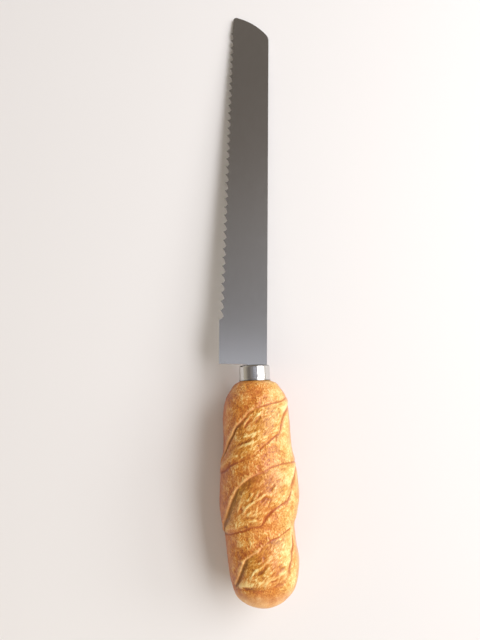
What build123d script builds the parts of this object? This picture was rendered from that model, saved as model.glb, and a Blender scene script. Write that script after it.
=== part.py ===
"""Bread knife with a cast resin handle in the shape of a scored loaf.

Row frame, millimetres: +Z up, +Y from the handle towards the blade's tip, +X towards the blade's
spine. The knife lies as it rests on a table: the flat sole under the loaf and the tip of the blade
both touch Z = 0. The origin is the middle of the sole, straight below the handle's axis.
"""

import os
from math import asin, atan, cos, degrees, hypot, radians, sin

from build123d import *

# Resting attitude
axis_height = 18.3  # handle axis above the table
heel_y = 63.5  # the blade's heel, measured from the middle of the sole
blade_yaw = 3.0  # degrees, blade turned towards its spine side, away from the handle's axis

# Blade
blade_length = 216.0
blade_thickness = 1.5
spine_offset = 6.7  # tang centre line to spine
heel_edge = 18.5  # tang centre line to the plain edge, at the heel
step_edge = 19.0  # the same at the step where the serration begins
step_at = 24.0  # heel to step
tooth_count = 36
tooth_pitch = 5.0
tooth_depth = 1.9
tips_at_step = 18.6  # line of tooth tips, measured from the tang centre line
tips_at_toe = 16.4
toe_edge = 15.6  # plain edge ahead of the teeth
toe_step = 0.4  # run of the step from the plain edge out to the first tooth
corner_edge = 14.8  # plain edge at the tip
corner_radius = 1.6
tip_drop = 14.5  # how far the end of the blade falls back at the spine
tip_radius = 36.0
spine_radius = 7.0
bevel_width = 3.6  # hollow ground on the underside, measured from the tooth tips
bevel_overrun = 0.8  # how far the grind runs past the tooth tips
edge_thickness = 0.3

# Tang and the pocket that it is glued into
tang_width = 8.0
tang_length = 46.0
key_hole_radius = 1.5
key_hole_at = 34.0
slot_clearance = 0.15
pocket_width = 11.0
pocket_height = 4.6
pocket_length = 50.0

# Ferrule
ferrule_radius = 8.0
ferrule_lip_radius = 8.2
ferrule_lip_length = 1.1
ferrule_wall = 0.6
ferrule_shoulder = 1.2
loaf_start = 8.4  # heel to the ferrule's open end, where the loaf begins

# Loaf, as (half width, distance behind the heel), from the ferrule to the start of the rounded butt
loaf_outline = [
    (8.3, loaf_start),
    (12.7, 12.3),
    (15.9, 18.0),
    (17.1, 28.0),
    (17.6, 42.0),
    (19.5, 56.0),
    (20.1, 66.0),
    (19.2, 75.0),
    (17.6, 84.0),
    (17.9, 95.0),
    (17.1, 103.5),
    (14.9, 110.5),
]
loaf_end = 118.2  # heel to the end of the butt
# Crust pads raised between the scores: both ends, then the middle of each long side, as
# (across, distance behind the heel)
crust_pads = [
    ((15.6, 19.0), (-14.4, 46.0), (-5.5, 26.5), (6.5, 38.0)),
    ((18.2, 50.0), (-17.2, 81.0), (-7.5, 55.5), (6.0, 71.5)),
    ((13.8, 82.0), (-13.8, 106.0), (-5.0, 89.0), (9.5, 101.0)),
]
pad_rise = 0.9

# The blade droops until the lower face of its tip touches the table
droop = degrees(
    asin(axis_height / hypot(blade_length, blade_thickness / 2))
    - atan(blade_thickness / 2 / blade_length)
)
blade_up = Vector(0, 0, 1).rotate(Axis.X, -droop).rotate(Axis.Z, -blade_yaw)
blade_across = Vector(1, 0, 0).rotate(Axis.Z, -blade_yaw)
# Local X towards the spine, local Y towards the tip, local Z out of the upper face
blade_plane = Plane((0, heel_y, axis_height), x_dir=blade_across, z_dir=blade_up)
side_plane = Plane.XY.offset(axis_height)
handle_axis = Axis((0, 0, axis_height), (0, 1, 0))

# The heel's lower spine corner rests on the ferrule's front face
ferrule_front = spine_offset * sin(radians(blade_yaw)) + blade_thickness / 2 * (
    sin(radians(droop)) * cos(radians(blade_yaw))
)
neck_front = ferrule_front + ferrule_wall
neck_radius = ferrule_radius - ferrule_wall


def behind(distance):
    """Y of a place that is this far behind the heel, along the handle's axis."""
    return heel_y - distance


def tooth_tip(index):
    """Tip of one tooth in the blade plane, counted from the heel end."""
    along = index / tooth_count
    edge = tips_at_step + (tips_at_toe - tips_at_step) * along
    return (-edge, step_at + tooth_pitch * index)


def draw_tooth(index):
    """One scallop from a tip back towards the heel: a long hollow slope and a short steep return."""
    tip_x, tip_y = tooth_tip(index)
    next_tip = tooth_tip(index - 1)
    root = (tip_x + tooth_depth, tip_y - 0.70 * tooth_pitch)
    slope_middle = (tip_x + 0.62 * tooth_depth, tip_y - 0.32 * tooth_pitch)
    return_middle = (next_tip[0] + 0.62 * tooth_depth, tip_y - 0.90 * tooth_pitch)
    ThreePointArc((tip_x, tip_y), slope_middle, root)
    ThreePointArc(root, return_middle, next_tip)


def draw_tang(width, length):
    """Rectangle centred on the tang, from just ahead of the heel back into the handle."""
    with Locations((0, (1 - length) / 2)):
        Rectangle(width, length + 1)


def nearest_vertex(sketch, place):
    """Corner of a sketch that is nearest to a place in the sketch's own plane."""
    return sketch.vertices().sort_by_distance(Vector(*place))[0]


def edge_plane(start):
    """Plane across the line of tooth tips: local X runs into the blade, local Z towards the heel."""
    toe = blade_plane.from_local_coords(Vector(*start))
    heel = blade_plane.from_local_coords(Vector(*tooth_tip(0)))
    along = (heel - toe).normalized()
    return Plane(toe, x_dir=blade_up.cross(along), z_dir=along)


def on_plan(place):
    """Plan position of a place given as (across, distance behind the heel)."""
    return (place[0], behind(place[1]))


def draw_loaf(growth):
    """Half outline of the loaf beside the handle's axis, swollen by growth, closed along the axis."""
    profile = [(half + growth, behind(distance)) for half, distance in loaf_outline]
    half, start = profile[-1]
    butt = (0, behind(loaf_end + growth))
    depth = start - butt[1]
    Spline(*profile)
    RadiusArc((half, start), butt, (half**2 + depth**2) / (2 * depth))
    Polyline(butt, (0, behind(loaf_start)), profile[0])


# Blade and tang, one stamping
toe_tip = tooth_tip(tooth_count)
tip_corner = (-corner_edge, blade_length)
spine_corner = (spine_offset, blade_length - tip_drop)

with BuildPart() as blade:
    with BuildSketch(blade_plane) as outline:
        with BuildLine():
            Polyline((-heel_edge, 0), (spine_offset, 0), spine_corner)
            RadiusArc(spine_corner, tip_corner, -tip_radius)
            Polyline(tip_corner, (-toe_edge, toe_tip[1] + toe_step), toe_tip)
            for tooth in range(tooth_count, 0, -1):
                draw_tooth(tooth)
            Polyline(tooth_tip(0), (-step_edge, step_at), (-heel_edge, 0))
        make_face()
        for corner, radius in ((tip_corner, corner_radius), (spine_corner, spine_radius)):
            fillet(nearest_vertex(outline, corner), radius)
    extrude(amount=blade_thickness / 2, both=True)
    # Flat bevel under the serration, from the tooth tips inwards
    edge_top = blade_thickness / 2 - edge_thickness
    bevel_slope = (edge_top + blade_thickness / 2) / bevel_width
    with BuildSketch(edge_plane(toe_tip)):
        with BuildLine():
            Polyline(
                (bevel_width, -blade_thickness / 2),
                (-bevel_overrun, edge_top + bevel_slope * bevel_overrun),
                (-bevel_overrun, -blade_thickness),
                (bevel_width, -blade_thickness),
                close=True,
            )
        make_face()
    extrude(amount=tooth_count * tooth_pitch, mode=Mode.SUBTRACT)
    with BuildSketch(blade_plane):
        draw_tang(tang_width, tang_length)
        with Locations((0, -key_hole_at)):
            Circle(key_hole_radius, mode=Mode.SUBTRACT)
    extrude(amount=blade_thickness / 2, both=True)

# Ferrule, a deep-drawn cap with a slot for the tang and a flared open end
with BuildPart() as ferrule:
    with BuildSketch(side_plane) as wall:
        with BuildLine():
            Polyline(
                (0, behind(ferrule_front)),
                (ferrule_radius, behind(ferrule_front)),
                (ferrule_radius, behind(loaf_start - ferrule_lip_length)),
                (ferrule_lip_radius, behind(loaf_start)),
                (neck_radius, behind(loaf_start)),
                (neck_radius, behind(neck_front)),
                (0, behind(neck_front)),
                close=True,
            )
        make_face()
        fillet(wall.vertices().group_by(Axis.Y)[-1].sort_by(Axis.X)[-1], ferrule_shoulder)
    revolve(axis=handle_axis)
    with BuildSketch(blade_plane):
        draw_tang(tang_width + 2 * slot_clearance, loaf_start)
    extrude(amount=blade_thickness / 2 + slot_clearance, both=True, mode=Mode.SUBTRACT)

# Crust between the scores, standing proud of the loaf
with BuildPart() as crust:
    with BuildSketch(side_plane):
        with BuildLine():
            draw_loaf(pad_rise)
        make_face()
    revolve(axis=handle_axis)
    with BuildSketch(side_plane):
        for right_end, left_end, upper_side, lower_side in crust_pads:
            with BuildLine():
                ThreePointArc(on_plan(right_end), on_plan(upper_side), on_plan(left_end))
                ThreePointArc(on_plan(left_end), on_plan(lower_side), on_plan(right_end))
            make_face()
    extrude(amount=2 * axis_height, mode=Mode.INTERSECT)

# Handle: the loaf, its neck inside the ferrule, the tang pocket and the flat sole
with BuildPart() as handle:
    with BuildSketch(side_plane):
        with BuildLine():
            draw_loaf(0)
        make_face()
    revolve(axis=handle_axis)
    add(crust.part)
    with BuildSketch(Plane.XZ.offset(-behind(loaf_start))):
        with Locations((0, axis_height)):
            Circle(neck_radius)
    extrude(amount=neck_front - loaf_start)
    with BuildSketch(blade_plane):
        draw_tang(pocket_width, pocket_length)
    extrude(amount=pocket_height / 2, both=True, mode=Mode.SUBTRACT)
    split(bisect_by=Plane.XY, keep=Keep.TOP)

# Epoxy bedding that fills the pocket around the tang
with BuildPart() as adhesive:
    with BuildSketch(blade_plane):
        draw_tang(pocket_width, pocket_length)
    extrude(amount=pocket_height / 2, both=True)
    split(bisect_by=Plane.XZ.offset(-behind(neck_front)), keep=Keep.TOP)
    add(blade.part, mode=Mode.SUBTRACT)

os.makedirs("parts", exist_ok=True)
for piece, label in ((blade, "blade"), (ferrule, "ferrule"), (handle, "handle"), (adhesive, "adhesive")):
    piece.part.label = label
    export_step(piece.part, f"parts/{label}.step")
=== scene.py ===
"""Bread knife with a cast handle painted as a scored loaf, lying on a pale table."""

import math

import bpy
import numpy as np
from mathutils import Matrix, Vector, noise


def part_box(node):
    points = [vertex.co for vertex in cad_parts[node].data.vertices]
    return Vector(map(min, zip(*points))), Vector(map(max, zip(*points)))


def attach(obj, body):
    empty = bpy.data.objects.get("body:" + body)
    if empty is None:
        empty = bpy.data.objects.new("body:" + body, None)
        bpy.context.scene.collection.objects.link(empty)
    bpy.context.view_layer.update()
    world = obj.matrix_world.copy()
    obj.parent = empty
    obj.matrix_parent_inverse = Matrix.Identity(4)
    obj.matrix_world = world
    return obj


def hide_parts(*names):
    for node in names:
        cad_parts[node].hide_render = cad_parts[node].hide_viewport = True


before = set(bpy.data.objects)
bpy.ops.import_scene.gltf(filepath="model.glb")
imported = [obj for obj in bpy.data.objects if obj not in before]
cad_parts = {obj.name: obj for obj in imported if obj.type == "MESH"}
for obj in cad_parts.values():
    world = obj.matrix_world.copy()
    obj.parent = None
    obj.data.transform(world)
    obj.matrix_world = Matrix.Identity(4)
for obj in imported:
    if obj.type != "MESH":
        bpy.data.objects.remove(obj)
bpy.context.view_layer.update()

MM = 0.001

# Places taken from the frame, millimetres
ferrule_low, ferrule_high = (np.array(corner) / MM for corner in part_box("ferrule"))
handle_low, handle_high = (np.array(corner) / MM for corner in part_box("handle"))
axis_height = (ferrule_low[2] + ferrule_high[2]) / 2
loaf_front = ferrule_low[1]
neck_front = handle_high[1]
loaf_length = loaf_front - handle_low[1]

# Loaf outline: (distance behind the ferrule, half width on the left, half width on the right)
loaf_sides = [
    (0.0, 7.6, 7.6),
    (0.5, 8.5, 8.6),
    (1.6, 10.6, 10.9),
    (3.9, 12.4, 12.9),
    (9.6, 15.6, 16.0),
    (19.6, 17.2, 17.0),
    (33.6, 17.6, 17.5),
    (40.6, 18.7, 18.8),
    (48.6, 19.4, 19.7),
    (58.6, 20.3, 19.8),
    (66.6, 19.8, 18.5),
    (71.6, 18.9, 17.1),
    (77.6, 17.7, 17.2),
    (86.6, 17.1, 18.3),
    (94.6, 16.3, 18.0),
    (101.1, 14.6, 16.0),
    (105.0, 12.5, 12.7),
    (107.0, 10.1, 10.2),
    (108.2, 7.7, 7.7),
    (109.0, 5.0, 5.0),
    (loaf_length - 0.3, 0.0, 0.0),
]
neck_radius = 7.3
neck_back = loaf_front + 0.05

# The loaf's grid: points round it, points along it, how far the points crowd to the top, and the
# radius that turns an angle into millimetres round the loaf
around_count = 300
along_count = 322
top_crowding = 0.3
roll_radius = 18.0

# Heights of the relief, millimetres
ridge_height = 0.4
cut_depth = 0.4
swell_height = 0.8
crease_depth = 0.75
streak_height = 0.1
grain_height = 0.06
bend_height = 0.3
flake_height = 0.12
lump_height = 0.26
pore_height = 0.07

# Share of each fold's height that is carved, and the crust's least height above the table
fold_share = 0.7
table_gap = 0.02

# Strokes scattered over the crust: how many, their heading and its spread in degrees, and the
# ranges of their half length, width and height in millimetres
stroke_seed = 5
torn_fibres = {
    "count": 460,
    "heading": -36,
    "spread": 20,
    "reach": (0.9, 2.8),
    "widths": (0.24, 0.38),
    "heights": (-0.2, 0.24),
}
lifted_flakes = {
    "count": 560,
    "heading": 78,
    "spread": 28,
    "reach": (0.6, 1.5),
    "widths": (0.22, 0.34),
    "heights": (-0.12, 0.28),
}

# Scores, as (degrees round the loaf from its top, millimetres behind the ferrule). Each opened
# score has a lip along its upper left side and a crease along its lower right side, both drawn
# from the right end to the left end. A hollow of the given width and depth lies beside the left
# part of the lip, and grows between the two shares of the lip's length in hollow_start.
# crease_strength says how deep the crease is, at even steps along it.
scores = [
    {
        "lip": [(92, 8.6), (66, 9.9), (52, 10.9), (33, 11.6), (21, 11.9), (3, 13.1), (-12, 14.7),
                (-28, 19.1), (-39, 22.5), (-49, 26.9), (-63, 32.0), (-78, 37.3), (-88, 45.5)],
        "crease": [(94, 10.2), (77, 14.1), (58, 16.6), (50, 19.1), (43, 22.9), (36, 26.2), (29, 27.5),
                   (11, 30.9), (1, 33.4), (-7, 35.8), (-24, 37.7), (-46, 40.5), (-61, 43.4), (-88, 47)],
        "hollow_width": 1.5,
        "hollow_depth": 0.6,
        "hollow_start": (0.48, 0.72),
        "crease_strength": (0.5, 0.7, 0.8, 1.0, 0.9, 1.1, 0.7, 0.45, 0.4, 0.5, 0.8, 1.0),
    },
    {
        "lip": [(100, 41.6), (83, 41.3), (51, 40.6), (34, 40.7), (20, 41.3), (2, 43.5), (-14, 45.5),
                (-31, 49.8), (-39, 53.2), (-51, 60.9), (-60, 65.8), (-75, 70.8), (-95, 75.6)],
        "crease": [(100, 42.0), (71, 44.6), (61, 48.3), (52, 51.8), (46, 55.4), (39, 58.1), (28, 59.0),
                   (13, 61.8), (3, 65.9), (-2, 67.8), (-14, 68.4), (-26, 70.0), (-50, 72.6), (-95, 76.3)],
        "hollow_width": 3.6,
        "hollow_depth": 0.6,
        "hollow_start": (0.38, 0.66),
        "crease_strength": (0.6, 0.8, 0.9, 0.7, 1.0, 0.9, 1.1, 1.1, 0.7, 0.55, 0.6, 0.7, 0.6),
    },
    {
        "lip": [(58, 71.6), (47, 71.9), (39, 72.6), (27, 74.1), (15, 74.9), (2, 76.9), (-6, 78.7),
                (-17, 81.0), (-28, 83.5), (-33, 86.3), (-47, 93.5), (-62, 98.0)],
        "crease": [(60, 72.4), (61, 79.4), (53, 82.5), (49, 85.9), (44, 88.8), (42, 91.2), (33, 94.2),
                   (17, 96.3), (1, 97.2), (-20, 97.6), (-40, 97.8), (-62, 99.0)],
        "hollow_width": 2.2,
        "hollow_depth": 0.5,
        "hollow_start": (0.55, 0.8),
        "crease_strength": (0.5, 0.9, 0.9, 0.8, 0.7, 0.4, 0.2, 0.1, 0.1, 0.1, 0.0),
    },
]

# Single folds, raised or pressed in: (height, width, line in the same coordinates as the scores)
folds = [
    # First score: twin grooves on the left, a long fold across, a slit past the right end
    (0.5, 0.5, [(-1, 15.8), (-13, 17.9), (-21, 20.6), (-26, 22.8)]),
    (-0.6, 0.6, [(-8, 18.2), (-16, 20.3), (-23, 23.3)]),
    (0.4, 0.4, [(14, 14.1), (6, 15.6), (-2, 17.7), (-8, 19.6)]),
    (-0.5, 0.5, [(10, 17.0), (0, 19.6), (-5, 21.2)]),
    (0.35, 0.6, [(7, 23.8), (-10, 25.8), (-22, 26.8), (-34, 27.7)]),
    (-0.6, 0.9, [(4, 25.2), (-5, 27.2), (-14, 28.6), (-24, 30.0), (-34, 30.9), (-49, 33.9)]),
    (0.3, 0.8, [(1, 28.0), (-11, 29.8), (-29, 31.5), (-43, 33.5)]),
    (-0.6, 0.4, [(32, 26.4), (30, 28.6), (29, 30.7)]),
    # Second score: thin ridges in the wide hollow, a long ridge, soft folds, slits at the right
    (0.6, 0.4, [(-28, 57.4), (-31, 59.8), (-34, 62.8)]),
    (0.4, 0.4, [(-23, 58.0), (-26, 60.4)]),
    (0.6, 0.45, [(-10, 51.5), (-14, 54.3), (-20, 57.2)]),
    (0.6, 0.45, [(-1, 50.8), (-7, 54.3), (-12, 56.6)]),
    (0.7, 0.5, [(8, 52.5), (3, 53.9), (-8, 56.1), (-19, 59.0), (-26, 61.8), (-43, 65.9)]),
    (0.4, 0.5, [(-12, 58.9), (-16, 61.6), (-20, 63.2)]),
    (-0.7, 0.5, [(23, 48.3), (16, 50.6), (11, 52.6)]),
    (-0.4, 0.5, [(35, 46.4), (25, 47.9), (21, 49.2)]),
    (-0.5, 0.7, [(15, 55.0), (6, 55.0), (2, 56.2), (-1, 57.4)]),
    (-0.4, 0.5, [(14, 55.7), (11, 57.7), (9, 59.7)]),
    (0.4, 1.2, [(27, 51.0), (16, 53.2), (4, 53.7), (-5, 55.4)]),
    (-0.4, 0.6, [(4, 63.7), (-9, 63.9), (-22, 64.0), (-32, 65.7)]),
    (-0.8, 0.45, [(49, 55.0), (44, 57.3), (39, 58.9)]),
    (-0.5, 0.4, [(39, 55.5), (34, 58.6)]),
    (-0.4, 0.6, [(58, 47.3), (49, 51.6), (39, 54.7)]),
    # Third score: zigzag ridges, a deep pool, slanting valleys, a dip above the lip
    (0.7, 0.5, [(0, 82.0), (-3, 83.4), (-9, 85.0)]),
    (0.7, 0.45, [(3, 84.2), (-5, 86.4), (-14, 88.2), (-18, 90.5), (-23, 92.4)]),
    (-0.7, 0.7, [(12, 83.4), (5, 85.7), (0, 87.6), (-6, 88.9), (-13, 89.5)]),
    (-0.7, 0.6, [(36, 86.7), (30, 87.5), (22, 88.2)]),
    (-0.6, 0.6, [(31, 91.2), (21, 92.1), (13, 92.8), (5, 93.6)]),
    (0.5, 0.7, [(38, 89.4), (29, 89.6), (18, 90.4)]),
    (-0.4, 0.5, [(2, 90.2), (-3, 91.6), (-10, 92.5)]),
    (-0.8, 1.2, [(7, 74.4), (-4, 76.8), (-14, 79.0), (-27, 82.0)]),
    (0.5, 0.5, [(-42, 84.5), (-33, 84.3), (-31, 85.7)]),
    (-0.6, 1.2, [(-43, 97.3), (-28, 96.7), (-13, 95.7)]),
    (0.5, 0.4, [(7, 73.3), (10, 75.4)]),
]


# Curves and noise -------------------------------------------------------------------------------

def smooth_curve(points, per_span=10):
    """Catmull-Rom curve through the points."""
    knots = np.array(points, float)
    knots = np.vstack([2 * knots[0] - knots[1], knots, 2 * knots[-1] - knots[-2]])
    t = np.linspace(0, 1, per_span, endpoint=False)[:, None]
    spans = []
    for a, b, c, d in zip(knots, knots[1:], knots[2:], knots[3:]):
        spans.append(b + (c - a) / 2 * t + (a - 2.5 * b + 2 * c - d / 2) * t**2
                     + (1.5 * (b - c) + (d - a) / 2) * t**3)
    return np.vstack([*spans, knots[-2:-1]])


def resample(curve, count):
    """The same curve with evenly spaced points."""
    steps = np.linalg.norm(np.diff(curve, axis=0), axis=1)
    run = np.concatenate([[0], np.cumsum(steps)])
    even = np.linspace(0, run[-1], count)
    return np.stack([np.interp(even, run, column) for column in curve.T], axis=1)


def curve_distance(points, curve):
    """Distance from each point to the curve, and how far along it the nearest place is, 0 to 1."""
    nearest = np.full(len(points), np.inf)
    place = np.zeros(len(points))
    for index, (start, end) in enumerate(zip(curve, curve[1:])):
        run = end - start
        share = np.clip((points - start) @ run / (run @ run), 0, 1)
        distance = np.linalg.norm(points - start - share[:, None] * run, axis=1)
        closer = distance < nearest
        nearest[closer] = distance[closer]
        place[closer] = (index + share[closer]) / (len(curve) - 1)
    return nearest, place


def inside_outline(points, outline):
    """True for the points inside a closed outline."""
    inside = np.zeros(len(points), bool)
    x, y = points.T
    for (x0, y0), (x1, y1) in zip(outline, np.roll(outline, -1, axis=0)):
        if y0 == y1:
            continue
        crosses = (y0 > y) != (y1 > y)
        inside ^= crosses & (x < (x1 - x0) * (y - y0) / (y1 - y0) + x0)
    return inside


def sample_noise(points, size, octaves):
    """Fractal noise about 0 at each 3-D point, with features of the given size in millimetres."""
    return np.array([noise.fractal(Vector(point), 1.0, 2.0, octaves) for point in points / size])


def blisters(points, size):
    """Rounded blisters of the given size with cracks between them, about 0."""
    gaps = []
    for point in points / size:
        distances, _ = noise.voronoi(Vector(point))
        gaps.append(distances[1] - distances[0])
    return np.clip(gaps, 0, 0.5) * 2 - 0.5


def smooth_step(value, low, high):
    """0 below low, 1 above high, and a smooth rise between."""
    share = np.clip((value - low) / (high - low), 0, 1)
    return share * share * (3 - 2 * share)


def bump(value, middle, width):
    """Bell curve of height 1."""
    return np.exp(-((value - middle) / width) ** 2)


# Handle -----------------------------------------------------------------------------------------

def grid_angles():
    """Angles of the grid points round the loaf, closer together at the top."""
    turn = np.linspace(-math.pi, math.pi, around_count, endpoint=False)
    return turn - top_crowding * np.sin(turn)


def loaf_grid():
    """Smooth loaf: place, outward normal, angle from the top and distance back at each grid point."""
    sides = resample(smooth_curve(loaf_sides), along_count)
    angle = grid_angles()
    right_share = (1 + np.sin(angle)) / 2
    distance = sides[:, 0:1] + 0 * angle
    radius = sides[:, 1:2] * (1 - right_share) + sides[:, 2:3] * right_share
    place = np.stack(
        [radius * np.sin(angle), loaf_front - distance, axis_height + radius * np.cos(angle)], axis=-1
    )
    along = np.gradient(place, axis=0)
    around = np.roll(place, -1, axis=1) - np.roll(place, 1, axis=1)
    normal = np.cross(along, around)
    length = np.linalg.norm(normal, axis=-1, keepdims=True)
    normal = np.where(length > 1e-9, normal / np.maximum(length, 1e-9), [0, -1, 0])
    return place, normal, angle + 0 * radius, distance


def unroll(line):
    """Smooth curve in millimetres round and along the loaf, from a line in degrees and millimetres."""
    curve = smooth_curve(line, 6)
    return np.stack([np.radians(curve[:, 0]) * roll_radius, curve[:, 1]], axis=1)


def fade_ends(along, start, end):
    """1 along the middle of a line, falling to 0 at its ends over the given shares."""
    return smooth_step(along, 0, start) * (1 - smooth_step(along, 1 - end, 1))


def carve_lip(score, inside, from_lip, along_lip, warp):
    """Relief along the lip, and how strong its cut, its edge's painted highlight and its hollow are.

    To the right the lip is a thin cut line. To the left it stands up beside the hollow.
    """
    right_part = smooth_step(along_lip, 0.0, 0.05) * (1 - smooth_step(along_lip, 0.36, 0.58))
    left_part = smooth_step(along_lip, 0.28, 0.5) * (1 - smooth_step(along_lip, 0.95, 1.0))
    cut = bump(from_lip, 0, 0.38) * right_part
    edge = bump(from_lip, 0.1, 0.33) * left_part
    ridge = np.where(inside, bump(from_lip, 0, 0.28), bump(from_lip, 0, 1.7)) * left_part
    ridge *= 0.8 + 0.6 * warp
    width = score["hollow_width"]
    near_lip = smooth_step(from_lip, 0.0, 0.7) * (1 - smooth_step(from_lip, 0.4 * width, 1.5 * width))
    hollow = np.where(inside, near_lip, 0) * left_part * smooth_step(along_lip, *score["hollow_start"])
    height = ridge_height * ridge - score["hollow_depth"] * hollow - cut_depth * cut
    return height, cut, edge, hollow


def carve_crease(score, inside, from_crease, along_crease, flat, warp):
    """How far the crumb tucks under the next band of crust, and how strong the crease is there."""
    strengths = score["crease_strength"]
    strength = np.interp(along_crease, np.linspace(0, 1, len(strengths)), strengths)
    strength *= fade_ends(along_crease, 0.06, 0.05)
    reach = (0.5 + 0.5 * smooth_step(flat[:, 0], 9, 13)) * (1 + 0.9 * warp)
    tuck = np.where(inside, np.exp(-from_crease / (0.55 * reach)), np.exp(-(from_crease / reach) ** 1.5))
    return tuck * strength, strength


def carve_crumb(number, flat, spots, from_lip, along_lip, warp):
    """Torn crumb of one score: streaks that follow its lip, and grains, calmer at the right end."""
    smooth_end = 1 - 0.7 * smooth_step(flat[:, 0], 13, 19)
    streak_spots = np.stack([from_lip + 0.8 * warp, along_lip * 9.0, 0 * from_lip + 13 * number], axis=1)
    streaks = sample_noise(streak_spots, 1.2, 3)
    grains = blisters(spots * [1.2, 0.9, 1.2] + 0.5 * warp[:, None], 1.5)
    return smooth_end * (streak_height * streaks + grain_height * grains)


def carve_score(score, number, flat, spots, warp):
    """Relief of one opened score, and its masks for the paint."""
    lip, crease = unroll(score["lip"]), unroll(score["crease"])
    from_lip, along_lip = curve_distance(flat, lip)
    from_crease, along_crease = curve_distance(flat, crease)
    inside = inside_outline(flat, np.vstack([lip, crease[::-1]]))
    across = from_lip / (from_lip + from_crease + 1e-6)
    depth = np.minimum(from_lip, from_crease)
    opened = np.where(inside, smooth_step(depth, 0.0, 0.8), 0)

    # The middle swells towards the crease, then tucks under
    lip_height, cut, edge, hollow = carve_lip(score, inside, from_lip, along_lip, warp)
    tuck, strength = carve_crease(score, inside, from_crease, along_crease, flat, warp)
    swell = np.where(inside, np.sin(math.pi * across**1.4), 0) * smooth_step(depth, 0, 3.0)
    height = lip_height + swell_height * swell - crease_depth * tuck
    height += opened * carve_crumb(number, flat, spots, from_lip, along_lip, warp)

    # Painted shade on the crust beside the crease and outside the lip
    by_crease = bump(from_crease, 0, 2.0) * np.minimum(strength, 1) * np.where(inside, 1.0, 0.4)
    by_lip = np.where(inside, 0, bump(from_lip, 1.2, 1.6)) * fade_ends(along_lip, 0.1, 0.1)
    masks = {
        "opened": opened,
        "crease": np.maximum(tuck, 0.8 * cut),
        "hollow": hollow,
        "lip": edge,
        "edge_shade": np.maximum(by_crease, by_lip),
    }
    return height, masks


def scatter_strokes(flat, allowed, rng, count, heading, spread, reach, widths, heights):
    """Short wavy ridges and grooves at random places where allowed, as relief in millimetres."""
    relief = np.zeros(len(flat))
    for middle in flat[rng.choice(np.flatnonzero(allowed), count)]:
        turn = math.radians(rng.normal(heading, spread))
        forward = np.array([math.cos(turn), math.sin(turn)])
        side = np.array([-forward[1], forward[0]])
        half_length = rng.uniform(*reach)
        width = rng.uniform(*widths)
        wave = rng.uniform(-0.5, 0.5)
        near = np.flatnonzero(np.abs(flat - middle).max(axis=1) < half_length)
        along = (flat[near] - middle) @ forward / half_length
        across = (flat[near] - middle) @ side + wave * np.sin(2.5 * along)
        relief[near] += rng.uniform(*heights) * bump(across, 0, width) * np.clip(1 - along**2, 0, 1)
    return relief


def carve_loaf():
    """Places of the carved crust, and the paint masks, one value for each grid point.

    The numbers added to spots only move each noise to a place of its own.
    """
    place, normal, angle, distance = loaf_grid()
    spots = place.reshape(-1, 3)
    flat = np.stack([angle.ravel() * roll_radius, distance.ravel()], axis=1)
    around, back = flat.T
    warp = sample_noise(spots, 6.0, 2)
    flat_warped = flat + 0.3 * np.stack([warp, sample_noise(spots + 50, 5.0, 2)], axis=1)

    height = bend_height * sample_noise(spots + 9, 14.0, 2)
    masks = {name: np.zeros(len(flat)) for name in ("opened", "crease", "hollow", "lip", "edge_shade")}
    for number, score in enumerate(scores):
        score_height, score_masks = carve_score(score, number, flat_warped, spots, warp)
        height += score_height
        for name, values in score_masks.items():
            masks[name] = np.maximum(masks[name], values)
    for fold_height, width, line in folds:
        from_fold, along_fold = curve_distance(flat_warped, unroll(line))
        height += fold_share * fold_height * bump(from_fold, 0, width) * fade_ends(along_fold, 0.35, 0.35)

    # Flaky closed crust, in patches, fading on the smooth sides and the butt
    level = np.cos(angle.ravel())
    top_share = smooth_step(level, 0.1, 0.6) * (1 - smooth_step(back, 97, 104))
    rough_share = 0.25 * smooth_step(level, -0.9, -0.4) + 0.75 * top_share
    patches = 0.45 + 0.55 * smooth_step(sample_noise(spots + 60, 7.0, 2), -0.3, 0.3)
    flakes = blisters(spots * [1.3, 0.65, 1.3] + 70 + 1.2 * warp[:, None], 1.5)
    lumps = sample_noise(spots + 110, 3.6, 3)
    rough = patches * flake_height * flakes + lump_height * lumps
    height += (1 - masks["opened"]) * rough_share * rough

    # Torn fibres in the opened scores, lifted flakes on the closed crust
    rng = np.random.default_rng(stroke_seed)
    upper = level > 0.3
    torn = upper & (masks["opened"] > 0.6) & (around < 14)
    closed = upper & (masks["opened"] < 0.2) & (back > 1.5) & (back < 99)
    height += scatter_strokes(flat, torn, rng, **torn_fibres)
    height += scatter_strokes(flat, closed, rng, **lifted_flakes)
    height += pore_height * sample_noise(spots + 90, 2.0, 3)

    # Calm down at the ferrule and at the butt's pole, where the grid is narrow
    edge = smooth_step(back, 0.0, 2.5) * (1 - smooth_step(back, loaf_length - 2.5, loaf_length))
    height = (height * edge).reshape(angle.shape)

    # No point of the crust goes into the table
    carved = place + normal * height[..., None]
    carved[..., 2] = np.maximum(carved[..., 2], table_gap)

    masks["top"] = top_share
    # Where painted shade goes on the left side and painted light on the right side
    masks["left"] = smooth_step(-around, 9, 17)
    masks["right"] = smooth_step(around, 4, 16)
    masks["butt"] = smooth_step(back, 98, 105)
    # Less painted shade beside the edges on the lit right side
    masks["edge_shade"] *= 1 - 0.6 * masks["right"]
    masks = {name: values.reshape(angle.shape) for name, values in masks.items()}
    masks["relief"] = relief_contrast(height)
    return carved, masks


def relief_contrast(height, passes=14):
    """How far each point stands above its blurred neighbourhood, scaled so that 0.5 is level."""
    around = height.copy()
    for _ in range(passes):
        around = (around + np.roll(around, 1, 1) + np.roll(around, -1, 1)) / 3
        padded = np.pad(around, ((1, 1), (0, 0)), mode="edge")
        around = (padded[:-2] + padded[1:-1] + padded[2:]) / 3
    return np.clip(0.5 + (height - around) / 0.8, 0, 1)


def neck_ring(y):
    """One row of the neck's points, at the loaf's own angles."""
    angle = grid_angles()
    ring = [neck_radius * np.sin(angle), 0 * angle + y, axis_height + neck_radius * np.cos(angle)]
    return np.stack(ring, axis=-1)


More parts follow.
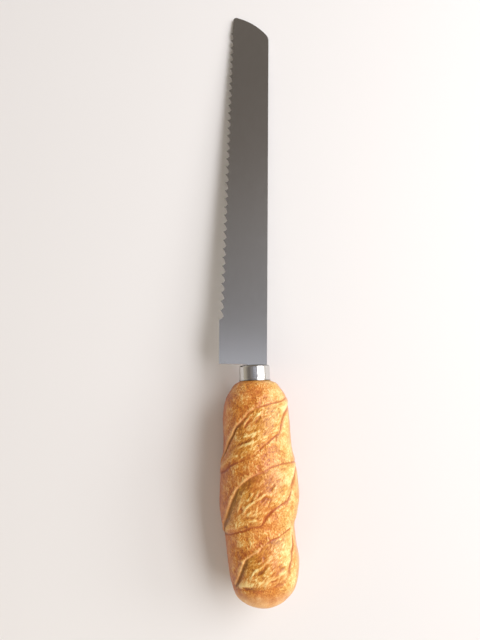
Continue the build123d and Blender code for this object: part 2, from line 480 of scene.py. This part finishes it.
def build_handle():
    """Mesh of the carved loaf and its neck, with the paint masks as attributes."""
    carved, masks = carve_loaf()
    columns = around_count

    # Neck inside the ferrule, then the carved rows, closed by a point at each end
    neck = np.array([neck_ring(neck_front), neck_ring(neck_back)])
    grid = np.concatenate([neck, carved[:-1]])
    total = len(grid)
    poles = [[0, neck_front, axis_height], [0, loaf_front - loaf_length, axis_height]]
    vertices = np.vstack([grid.reshape(-1, 3), poles]) * MM
    column = np.arange(columns)
    after = (column + 1) % columns
    faces = []
    for row in range(total - 1):
        near, far = row * columns, (row + 1) * columns
        faces += np.stack([near + column, near + after, far + after, far + column], 1).tolist()
    front_pole, butt_pole = total * columns, total * columns + 1
    last = (total - 1) * columns
    faces += [[front_pole, b, a] for a, b in zip(column, after)]
    faces += [[butt_pole, last + a, last + b] for a, b in zip(column, after)]
    mesh = bpy.data.meshes.new("handle_loaf")
    mesh.from_pydata(vertices.tolist(), [], faces)
    mesh.polygons.foreach_set("use_smooth", np.ones(len(mesh.polygons), bool))

    # The neck and the two poles have no paint
    for name, values in masks.items():
        full = np.concatenate([np.zeros(len(neck) * columns), values[:-1].ravel(), np.zeros(len(poles))])
        layer = mesh.attributes.new(name, "FLOAT", "POINT")
        layer.data.foreach_set("value", full.astype(np.float32))
    mesh.validate()
    loaf = bpy.data.objects.new("handle_loaf", mesh)
    bpy.context.collection.objects.link(loaf)
    return loaf


# Materials --------------------------------------------------------------------------------------

def new_material(name, **constants):
    """Material with a Principled shader; the constants go on its own sockets."""
    material = bpy.data.materials.new(name)
    material.use_nodes = True
    shader = material.node_tree.nodes["Principled BSDF"]
    for socket, value in constants.items():
        shader.inputs[socket.replace("_", " ")].default_value = value
    return material, material.node_tree, shader


def attribute(tree, name):
    """One of the mesh's paint masks."""
    node = tree.nodes.new("ShaderNodeAttribute")
    node.attribute_name = name
    return node.outputs["Fac"]


def mix_colour(tree, factor, first, second):
    """Colour mix; first and second are colours or sockets, factor is a number or a socket."""
    node = tree.nodes.new("ShaderNodeMix")
    node.data_type = "RGBA"
    for index, value in ((0, factor), (6, first), (7, second)):
        if isinstance(value, bpy.types.NodeSocket):
            tree.links.new(value, node.inputs[index])
        else:
            node.inputs[index].default_value = value
    return node.outputs[2]


def remap(tree, socket, low, high, to_low=0.0, to_high=1.0):
    """The socket's range from low to high, stretched to another range and held at its ends."""
    node = tree.nodes.new("ShaderNodeMapRange")
    node.inputs[1].default_value, node.inputs[2].default_value = low, high
    node.inputs[3].default_value, node.inputs[4].default_value = to_low, to_high
    tree.links.new(socket, node.inputs[0])
    return node.outputs[0]


def noise_socket(tree, scale, detail, stretch=(1, 1, 1), turn=0):
    """Noise over the object's own coordinates, stretched along axes turned by some degrees about Z."""
    place = tree.nodes.new("ShaderNodeTexCoord")
    mapping = tree.nodes.new("ShaderNodeMapping")
    mapping.vector_type = "TEXTURE"
    mapping.inputs["Scale"].default_value = stretch
    mapping.inputs["Rotation"].default_value = (0, 0, math.radians(turn))
    texture = tree.nodes.new("ShaderNodeTexNoise")
    texture.inputs["Scale"].default_value = scale
    texture.inputs["Detail"].default_value = detail
    tree.links.new(place.outputs["Object"], mapping.inputs["Vector"])
    tree.links.new(mapping.outputs["Vector"], texture.inputs["Vector"])
    return texture.outputs["Fac"]


def bump_normal(tree, height, strength, depth):
    """Normal for relief too fine for the mesh; the depth is in metres."""
    node = tree.nodes.new("ShaderNodeBump")
    node.inputs["Strength"].default_value = strength
    node.inputs["Distance"].default_value = depth
    tree.links.new(height, node.inputs["Height"])
    return node.outputs["Normal"]


def srgb(red, green, blue):
    """Linear colour from 0 to 255 display values."""
    channels = [(value / 255 + 0.055) / 1.055 for value in (red, green, blue)]
    return (*[channel**2.4 for channel in channels], 1)


def paint_ramp(tree, factor, *stops):
    """Colour ramp from (position, display colour) stops."""
    node = tree.nodes.new("ShaderNodeValToRGB")
    while len(node.color_ramp.elements) < len(stops):
        node.color_ramp.elements.new(0.5)
    for element, (position, colour) in zip(node.color_ramp.elements, stops):
        element.position = position
        element.color = srgb(*colour)
    tree.links.new(factor, node.inputs["Fac"])
    return node.outputs["Color"]


def mix_value(tree, factor, first, second):
    """first where the factor is 0, second where it is 1."""
    node = tree.nodes.new("ShaderNodeMix")
    tree.links.new(factor, node.inputs[0])
    tree.links.new(first, node.inputs[2])
    tree.links.new(second, node.inputs[3])
    return node.outputs[0]


def scale_by(tree, first, second):
    """first * second."""
    node = tree.nodes.new("ShaderNodeMath")
    node.operation = "MULTIPLY"
    tree.links.new(first, node.inputs[0])
    tree.links.new(second, node.inputs[1])
    return node.outputs[0]


def add_up(tree, first, second, scale=1.0):
    """first + second * scale."""
    node = tree.nodes.new("ShaderNodeMath")
    node.operation = "MULTIPLY_ADD"
    tree.links.new(second, node.inputs[0])
    node.inputs[1].default_value = scale
    tree.links.new(first, node.inputs[2])
    return node.outputs[0]


def lay_over(tree, colour, layer, mask, strength=1.0, low=0.0, high=1.0):
    """The colour, covered by the layer as the mask goes from low to high, by strength at most."""
    factor = remap(tree, attribute(tree, mask), low, high, 0, strength)
    return mix_colour(tree, factor, colour, layer)


def crust_tone(tree):
    """How light the paint is: the relief, lighter on raised points and darker in sunk ones, partly as
    painted highlight and shade, broken up by patches and by flecks or torn fibres.
    """
    flecks = noise_socket(tree, 1500, 3, (0.8, 1.3, 0.8))
    fibres = noise_socket(tree, 1600, 3, (2.4, 0.8, 1.0), 47)
    grain = mix_value(tree, attribute(tree, "opened"), flecks, fibres)
    mottle = remap(tree, grain, 0.32, 0.68, -0.5, 0.5)
    mottled_part = add_up(tree, attribute(tree, "top"), attribute(tree, "butt"), 0.6)
    mottle = scale_by(tree, mottle, mottled_part)
    mottle_strength = remap(tree, attribute(tree, "opened"), 0, 1, 0.54, 0.42)
    patches = remap(tree, noise_socket(tree, 170, 2), 0.3, 0.7, -0.5, 0.5)
    tone = add_up(tree, attribute(tree, "relief"), patches, 0.38)
    return add_up(tree, tone, scale_by(tree, mottle, mottle_strength))


def painted_crust():
    """Crust colours dry-brushed over cast resin under clear lacquer, with painted light and shade."""
    material, tree, shader = new_material(
        "painted_crust", Roughness=0.5, Specular_IOR_Level=0.4, Coat_Weight=0.28, Coat_Roughness=0.25
    )
    tone = crust_tone(tree)
    closed = paint_ramp(
        tree, tone,
        (0.15, (170, 86, 22)), (0.4, (212, 130, 42)), (0.6, (230, 160, 66)), (0.85, (255, 224, 150)),
    )
    opened = paint_ramp(
        tree, tone,
        (0.15, (150, 82, 16)), (0.38, (196, 122, 36)), (0.56, (222, 154, 60)), (0.82, (252, 222, 148)),
    )
    warm = paint_ramp(tree, tone, (0.25, (186, 98, 38)), (0.6, (216, 128, 52)), (0.85, (240, 174, 92)))
    pale = paint_ramp(tree, tone, (0.2, (206, 144, 62)), (0.5, (230, 190, 106)), (0.8, (250, 224, 156)))
    edge_shade_colours = paint_ramp(tree, tone, (0.2, (172, 84, 28)), (0.5, (206, 118, 46)), (0.85, (240, 182, 100)))
    shaded_left_side = paint_ramp(tree, tone, (0.2, (168, 82, 32)), (0.7, (198, 110, 50)))
    lit_right_side = paint_ramp(tree, tone, (0.2, (206, 138, 92)), (0.7, (222, 162, 116)))
    butt = paint_ramp(tree, tone, (0.15, (214, 138, 68)), (0.5, (240, 178, 108)), (0.85, (255, 214, 156)))
    dark = paint_ramp(tree, tone, (0.2, (144, 96, 22)), (0.5, (182, 128, 40)), (0.8, (238, 186, 92)))

    colour = lay_over(tree, closed, opened, "opened")
    warm_patches = remap(tree, noise_socket(tree, 90, 3), 0.45, 0.65, 0, 0.7)
    colour = mix_colour(tree, warm_patches, colour, warm)
    # Painted light on the right side of the crust
    colour = lay_over(tree, colour, pale, "right", 0.75)
    # Painted shade beside the creases and outside the lips
    colour = lay_over(tree, colour, edge_shade_colours, "edge_shade", 0.6)
    # Painted shade on the left part of the top
    colour = lay_over(tree, colour, shaded_left_side, "left", 0.4)
    # Below the top: painted shade on the left side, painted light on the right side
    sides = lay_over(tree, shaded_left_side, lit_right_side, "right")
    colour = lay_over(tree, colour, sides, "top", low=1, high=0)
    colour = lay_over(tree, colour, butt, "butt")
    # Painted shade in the hollows beside the lips
    colour = lay_over(tree, colour, dark, "hollow", 0.8)
    # Painted highlight along the raised lip edges
    colour = lay_over(tree, colour, srgb(242, 176, 116), "lip", 0.55, low=0.3)
    # Red-brown painted shade in the creases, where the crumb tucks under the crust, and along the thin
    # cuts
    colour = lay_over(tree, colour, srgb(176, 84, 26), "crease", 0.7, low=0.1, high=0.8)
    tree.links.new(colour, shader.inputs["Base Color"])
    pores = noise_socket(tree, 1100, 3)
    tree.links.new(bump_normal(tree, pores, 0.4, 0.0004), shader.inputs["Normal"])
    return material


def satin_steel():
    """Rolled blade steel, brushed lengthwise."""
    material, tree, shader = new_material("satin_steel", Metallic=1.0, Base_Color=(0.50, 0.485, 0.465, 1))
    streaks = noise_socket(tree, 2600, 2, (1, 80, 1))
    tree.links.new(remap(tree, streaks, 0.3, 0.7, 0.21, 0.26), shader.inputs["Roughness"])
    tree.links.new(bump_normal(tree, streaks, 0.03, 0.0001), shader.inputs["Normal"])
    return material


def polished_steel():
    """Bright ferrule steel, with painted shade at the shoulder and along the joint with the loaf."""
    material, tree, shader = new_material("polished_steel", Metallic=1.0)
    place = tree.nodes.new("ShaderNodeTexCoord")
    split = tree.nodes.new("ShaderNodeSeparateXYZ")
    tree.links.new(place.outputs["Generated"], split.inputs[0])
    along = split.outputs["Y"]
    bright, painted_shade = (0.64, 0.625, 0.61, 1), (0.14, 0.13, 0.12, 1)
    # Painted shade at the shoulder under the blade's heel, and along the joint with the loaf
    colour = mix_colour(tree, remap(tree, along, 0.90, 0.95, 0, 0.8), bright, painted_shade)
    colour = mix_colour(tree, remap(tree, along, 0.07, 0.0, 0, 0.8), colour, painted_shade)
    tree.links.new(colour, shader.inputs["Base Color"])
    haze = noise_socket(tree, 300, 3)
    tree.links.new(remap(tree, haze, 0.3, 0.7, 0.19, 0.25), shader.inputs["Roughness"])
    return material


def cured_epoxy():
    """Clouded amber adhesive."""
    material, tree, shader = new_material("cured_epoxy", Roughness=0.4)
    cloud = noise_socket(tree, 200, 3)
    colour = mix_colour(tree, cloud, (0.62, 0.50, 0.28, 1), (0.78, 0.68, 0.45, 1))
    tree.links.new(colour, shader.inputs["Base Color"])
    return material


def paint(node, material):
    """Give a CAD node the material."""
    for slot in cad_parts[node].material_slots:
        slot.link = "OBJECT"
        slot.material = material


# Stage ------------------------------------------------------------------------------------------

# Camera: place in metres, tilt from straight down and turn in degrees, lens in millimetres
camera_place = (-0.0079, 0.0509, 0.2778)
camera_tilt, camera_turn = 8, -2.05
camera_lens, camera_sensor = 27.7, 36.0

# Table, metres: its size, and how far it lies below the sole
table_size = 6.0
table_drop = 0.0002

# Lights: name, (azimuth, elevation) in degrees, size in metres, power in watts, colour. They all
# face the middle of the knife, from the same distance in metres.
knife_middle = Vector((0, 0.1, 0))
light_distance = 1.5
lights = [
    ("window", (6, 53), (1.8, 0.66), 21.8, (0.945, 0.955, 1.0)),
    ("low_window", (15, 27), (1.2, 0.48), 8.8, (0.945, 0.955, 1.0)),
    ("fill", (-108, 42), (1.2, 0.6), 4.0, (1.0, 0.90, 0.70)),
    ("ceiling", (84, 83), (0.5, 0.26), 0.42, (0.80, 0.86, 1.0)),
]

# Room: (sine of the elevation, colour), pale at the horizon, dark at mid height, grey overhead
room_colours = [
    (0.0, (0.62, 0.565, 0.46)),
    (0.32, (0.50, 0.445, 0.355)),
    (0.62, (0.20, 0.175, 0.155)),
    (0.72, (0.185, 0.16, 0.14)),
    (0.81, (0.20, 0.17, 0.145)),
    (0.92, (0.315, 0.303, 0.305)),
    (1.0, (0.21, 0.205, 0.225)),
]


def build_stage():
    """Plain pale table."""
    bpy.ops.mesh.primitive_plane_add(size=table_size, location=(0, 0, -table_drop))
    table = bpy.context.object
    table.name = "table"
    material, tree, shader = new_material("table", Roughness=0.55)
    colour = mix_colour(tree, noise_socket(tree, 4, 2), (0.80, 0.775, 0.755, 1), (0.82, 0.795, 0.775, 1))
    tree.links.new(colour, shader.inputs["Base Color"])
    table.data.materials.append(material)


def add_light(name, toward, size, power, colour):
    """Soft oblong light that faces the middle of the knife from (azimuth, elevation) in degrees."""
    data = bpy.data.lights.new(name, "AREA")
    data.shape = "RECTANGLE"
    data.size, data.size_y = size
    data.energy = power
    data.color = colour
    light = bpy.data.objects.new(name, data)
    bpy.context.collection.objects.link(light)
    azimuth, elevation = (math.radians(turn) for turn in toward)
    level = math.cos(elevation)
    direction = Vector((level * math.cos(azimuth), level * math.sin(azimuth), math.sin(elevation)))
    light.location = knife_middle + direction * light_distance
    light.rotation_euler = direction.to_track_quat("Z", "Y").to_euler()


def build_world():
    """Room light that changes with height only."""
    world = bpy.data.worlds.new("room")
    bpy.context.scene.world = world
    world.use_nodes = True
    tree = world.node_tree
    place = tree.nodes.new("ShaderNodeTexCoord")
    split = tree.nodes.new("ShaderNodeSeparateXYZ")
    ramp = tree.nodes.new("ShaderNodeValToRGB")
    while len(ramp.color_ramp.elements) < len(room_colours):
        ramp.color_ramp.elements.new(0.5)
    for element, (position, colour) in zip(ramp.color_ramp.elements, room_colours):
        element.position = position
        element.color = (*colour, 1)
    tree.links.new(place.outputs["Generated"], split.inputs[0])
    tree.links.new(split.outputs["Z"], ramp.inputs["Fac"])
    tree.links.new(ramp.outputs["Color"], tree.nodes["Background"].inputs["Color"])


def add_camera():
    """Camera above the table, looking down."""
    data = bpy.data.cameras.new("camera")
    data.lens = camera_lens
    data.sensor_width = camera_sensor
    camera = bpy.data.objects.new("camera", data)
    camera.location = camera_place
    camera.rotation_euler = (math.radians(camera_tilt), 0, math.radians(camera_turn))
    bpy.context.collection.objects.link(camera)
    bpy.context.scene.camera = camera


add_camera()
build_world()
build_stage()
for light in lights:
    add_light(*light)
bpy.context.scene.view_settings.view_transform = "Standard"

loaf = build_handle()
loaf.data.materials.append(painted_crust())
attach(loaf, "root")
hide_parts("handle")
paint("blade", satin_steel())
paint("ferrule", polished_steel())
paint("adhesive", cured_epoxy())
